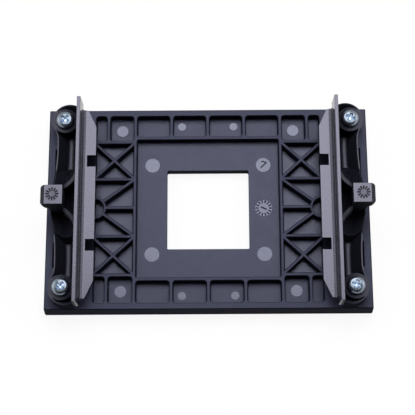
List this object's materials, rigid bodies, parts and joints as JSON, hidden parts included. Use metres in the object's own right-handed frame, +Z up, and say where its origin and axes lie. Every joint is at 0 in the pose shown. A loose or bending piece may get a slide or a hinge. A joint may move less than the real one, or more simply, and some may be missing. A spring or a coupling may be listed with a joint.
{
  "type": "cpu cooler mounting bracket",
  "caption": "Ribbed plastic backplate with a square window and a pair of tall clip brackets screwed to its corners, for clamping a processor cooler to a mainboard.",
  "frame": {"origin": "middle of the backplate's underside", "axes": "+X across the two brackets, +Y along each bracket toward the rear of the view, +Z up out of the backplate's ribbed side"},
  "size_m": [0.1024, 0.0662, 0.021],
  "materials": {
    "backplate_plastic": "fine spark-eroded black moulding",
    "bracket_plastic": "smooth satin black moulding",
    "screw_zinc": "bluish bright zinc plate",
    "insert_brass": "turned brass"
  },
  "bodies": {
    "root": {"backplate": "backplate_plastic", "left_bracket": "bracket_plastic", "right_bracket": "bracket_plastic", "rear_left_screw": "screw_zinc", "rear_right_screw": "screw_zinc", "front_left_screw": "screw_zinc", "front_right_screw": "screw_zinc", "rear_left_insert": "insert_brass", "rear_right_insert": "insert_brass", "front_left_insert": "insert_brass", "front_right_insert": "insert_brass"}
  },
  "joints": []
}
